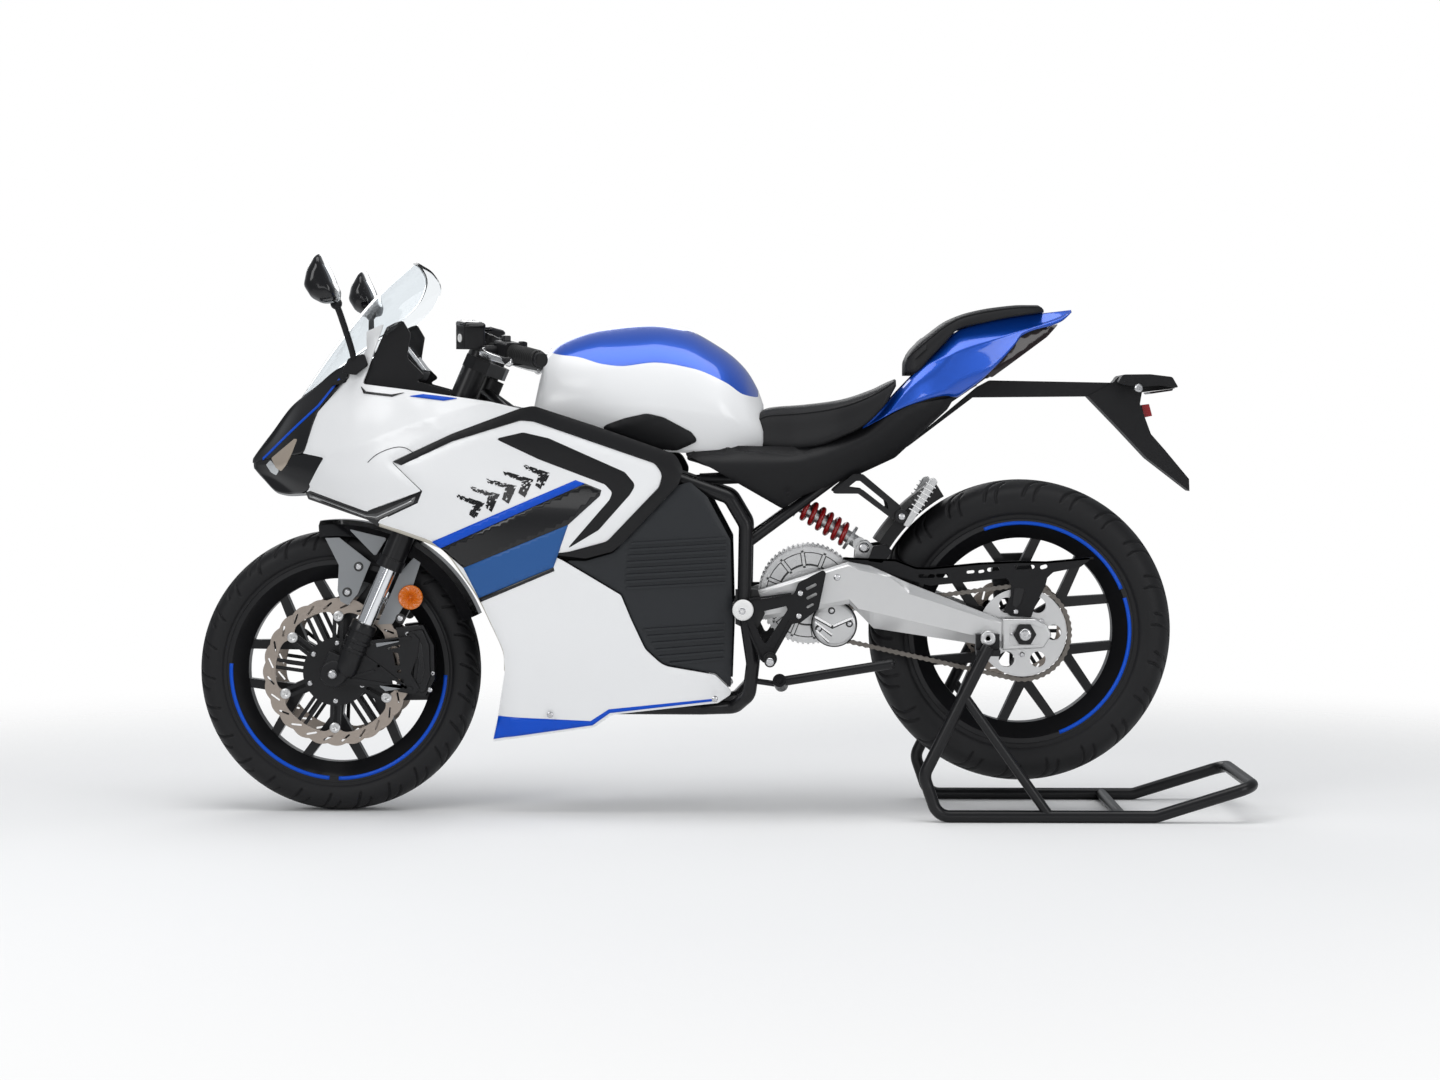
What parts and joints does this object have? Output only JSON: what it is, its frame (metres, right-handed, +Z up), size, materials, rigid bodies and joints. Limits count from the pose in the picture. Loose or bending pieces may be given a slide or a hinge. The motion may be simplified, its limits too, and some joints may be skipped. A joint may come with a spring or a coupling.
{
  "type": "electric sport motorcycle on a rear paddock stand",
  "caption": "Full-fairing electric sport motorcycle held upright on a rear paddock stand, with turning wheels, steering and a folding side stand.",
  "frame": {"origin": "on the floor, in the middle of the footprint of the motorcycle and its paddock stand", "axes": "+Z up, -X towards the front wheel, +Y to the rider's right"},
  "size_m": [2.182, 0.7052, 1.1464],
  "materials": {
    "black_frame": "satin black enamel",
    "black_plastic": "fine-grained moulded plastic",
    "gloss_black": "gloss black",
    "grey_plastic": "satin dark grey, ribbed",
    "white_paint": "gloss white lacquer with blue, grey and black stripes",
    "blue_paint": "gloss metallic blue",
    "clear_screen": "clear polycarbonate",
    "lens_tan": "clear lamp lens over a bright reflector",
    "red_lens": "moulded red lens",
    "seat_cover": "black grained seat vinyl",
    "silver_alloy": "satin cast and machined aluminium",
    "chrome": "hard-chromed stanchion",
    "disc_steel": "ground brake disc",
    "chain_steel": "oiled roller chain",
    "red_paint": "gloss red coil spring",
    "grip_rubber": "ribbed grip rubber",
    "tyre_rubber": "road tyre"
  },
  "bodies": {
    "chassis": {"main_frame": "black_frame", "subframe": "black_frame", "battery_case": "black_plastic", "motor": "black_frame", "swingarm": "silver_alloy", "chain": "chain_steel", "chain_guard": "black_plastic", "rear_hugger": "black_plastic", "shock_body": "silver_alloy", "shock_spring": "red_paint", "nose_cover": "gloss_black", "headlight": "lens_tan", "upper_cowl": "white_paint", "running_lamps": "black_plastic", "side_fairing_left": "white_paint", "side_fairing_right": "white_paint", "trim_strips": "black_plastic", "battery_covers": "grey_plastic", "windscreen": "clear_screen", "cockpit_panel": "black_plastic", "mirrors": "gloss_black", "tank": "white_paint", "side_covers": "gloss_black", "tail_cowl": "blue_paint", "tail_lamp": "red_lens", "seat": "seat_cover", "pillion_seat": "seat_cover", "plate_holder": "black_plastic", "rearsets": "black_frame", "passenger_pegs": "black_frame", "rear_caliper": "black_frame", "paddock_stand": "black_frame"},
    "steering": {"fork_tubes": "black_frame", "fork_stanchions": "chrome", "axle_clamps": "silver_alloy", "front_calipers": "black_frame", "yokes": "black_frame", "clip_ons": "grip_rubber", "controls": "black_plastic", "front_fender": "gloss_black", "fender_brackets": "silver_alloy"},
    "front_wheel": {"front_tyre": "tyre_rubber", "front_rim": "black_frame", "front_discs": "disc_steel"},
    "rear_wheel": {"rear_tyre": "tyre_rubber", "rear_rim": "black_frame", "rear_disc": "disc_steel", "sprocket": "silver_alloy"},
    "side_stand": {"side_stand": "black_frame"}
  },
  "joints": [
    {"name": "steer", "type": "hinge", "parent": "chassis", "child": "steering", "pos_m": [-0.75149, 0, 0.28004], "axis": [0.3987, 0, 0.9171], "range_deg": [-25, 25]},
    {"name": "front_wheel_spin", "type": "hinge", "parent": "steering", "child": "front_wheel", "pos_m": [-0.798, 0, 0.293], "axis": [0, 1, 0], "continuous": true},
    {"name": "rear_wheel_spin", "type": "hinge", "parent": "chassis", "child": "rear_wheel", "pos_m": [0.618, 0, 0.379], "axis": [0, 1, 0], "continuous": true},
    {"name": "side_stand_fold", "type": "hinge", "parent": "chassis", "child": "side_stand", "pos_m": [0.121, -0.169, 0.283], "axis": [0.0999, 0.9388, -0.3296], "range_deg": [0, 112]}
  ]
}
